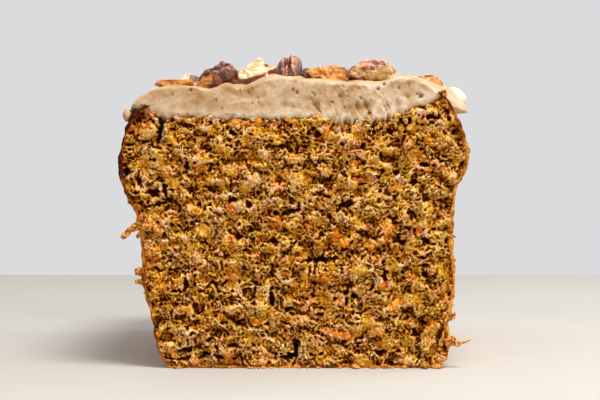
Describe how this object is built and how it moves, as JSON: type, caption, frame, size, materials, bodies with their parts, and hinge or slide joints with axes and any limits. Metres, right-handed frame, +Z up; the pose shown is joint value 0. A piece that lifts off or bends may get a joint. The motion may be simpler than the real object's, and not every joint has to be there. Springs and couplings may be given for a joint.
{
  "type": "cut loaf of carrot banana bread with frosting and chopped pecans",
  "caption": "Cut loaf of banana bread with a torn open crumb, a thick rounded cap of caramel-coloured frosting and chopped pecans on top. It stands on its flat base.",
  "frame": {"origin": "middle of the loaf's bounding box, on the surface that it stands on", "axes": "+Z up, -Y out of the cut face, +Y towards the baked end, +X to the right as the cut face is looked at"},
  "size_m": [0.1276, 0.1518, 0.1139],
  "materials": {
    "baked_crumb": "golden brown moist crumb with dark pores and a darker baked crust",
    "frosting": "smooth caramel-coloured cream cheese frosting with a soft sheen",
    "pecan": "red-brown nut skin with pale broken faces"
  },
  "bodies": {
    "root": {"cake": "baked_crumb", "frosting": "frosting", "pecan_01": "pecan", "pecan_02": "pecan", "pecan_03": "pecan", "pecan_04": "pecan", "pecan_05": "pecan", "pecan_06": "pecan", "pecan_07": "pecan", "pecan_08": "pecan", "pecan_09": "pecan", "pecan_10": "pecan", "pecan_11": "pecan", "pecan_12": "pecan", "pecan_13": "pecan", "pecan_14": "pecan", "pecan_15": "pecan", "pecan_16": "pecan", "pecan_17": "pecan", "pecan_18": "pecan", "pecan_19": "pecan", "pecan_20": "pecan", "pecan_21": "pecan", "pecan_22": "pecan", "pecan_23": "pecan", "pecan_24": "pecan", "pecan_25": "pecan", "pecan_26": "pecan", "pecan_27": "pecan", "pecan_28": "pecan", "pecan_29": "pecan", "pecan_30": "pecan"}
  },
  "joints": []
}
